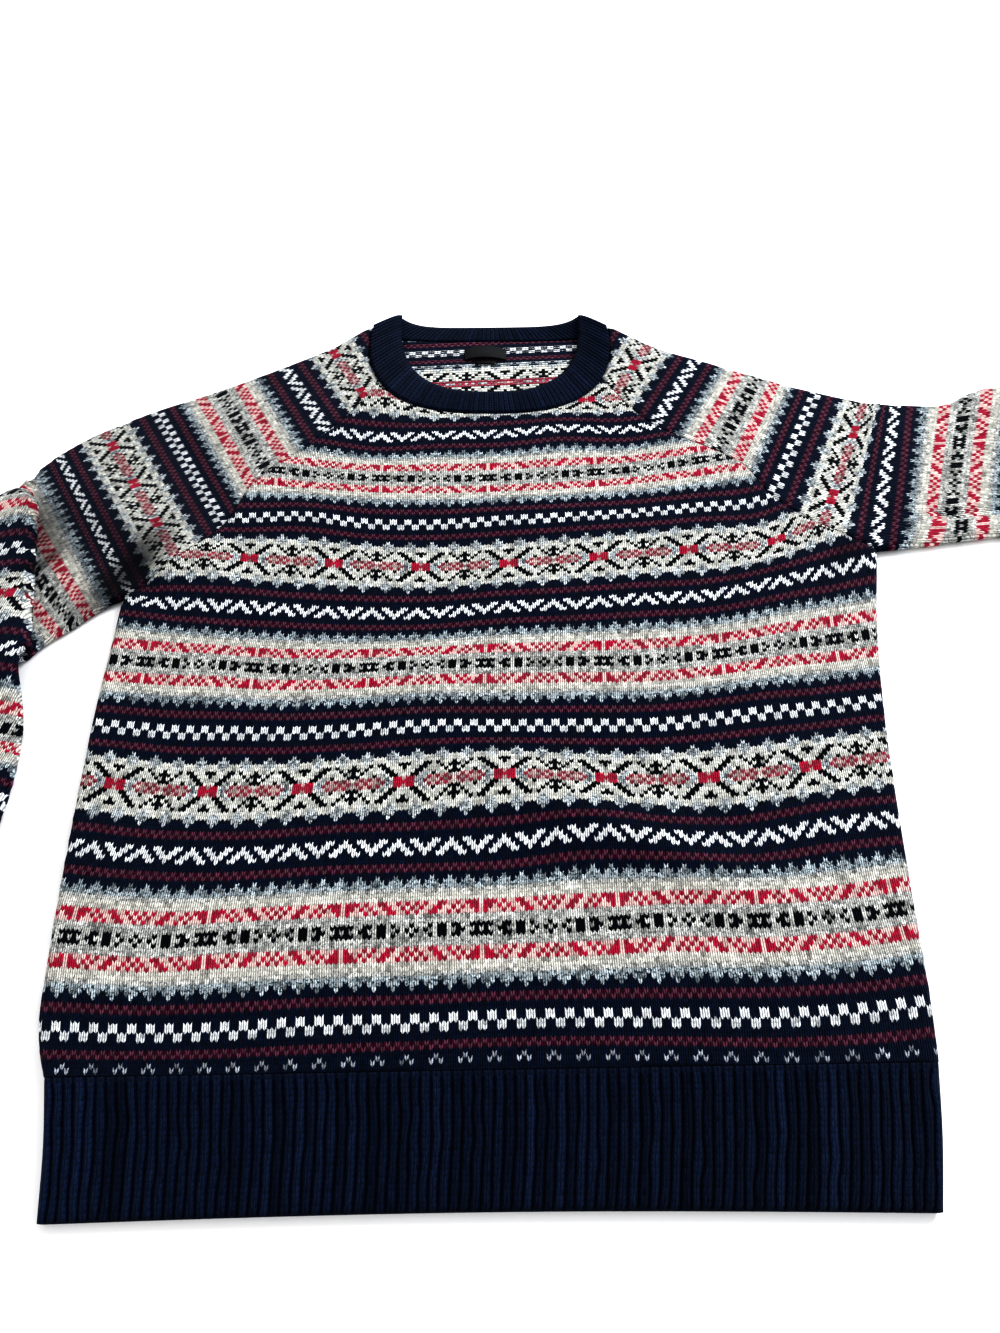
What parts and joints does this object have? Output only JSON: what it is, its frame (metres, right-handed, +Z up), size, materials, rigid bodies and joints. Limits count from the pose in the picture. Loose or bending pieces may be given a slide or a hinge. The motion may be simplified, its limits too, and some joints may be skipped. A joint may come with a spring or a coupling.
{
  "type": "fair isle jumper",
  "caption": "Crew-neck fair isle jumper laid flat face up: banded stranded knit, raglan sleeves, one bent at the elbow and one out straight, ribbed neck, cuffs and hem.",
  "frame": {"origin": "on the floor under the middle of the body, on the back panel's flat underside", "axes": "+X towards the wearer's left sleeve, +Y from the hem towards the neck, +Z up from the floor"},
  "size_m": [1.327, 0.7246, 0.019],
  "materials": {
    "fair_isle": "brushed stranded wool knit in navy, cream, grey marl, red and black bands",
    "navy_rib": "navy wool, one by one rib",
    "black_tag": "black woven satin tag, bare"
  },
  "bodies": {
    "root": {"front": "fair_isle", "back": "fair_isle", "right_sleeve": "fair_isle", "left_sleeve": "fair_isle", "hem_front": "navy_rib", "hem_back": "navy_rib", "right_cuff": "navy_rib", "left_cuff": "navy_rib", "neck_rib": "navy_rib", "neck_label": "black_tag", "size_tab": "black_tag"}
  },
  "joints": []
}
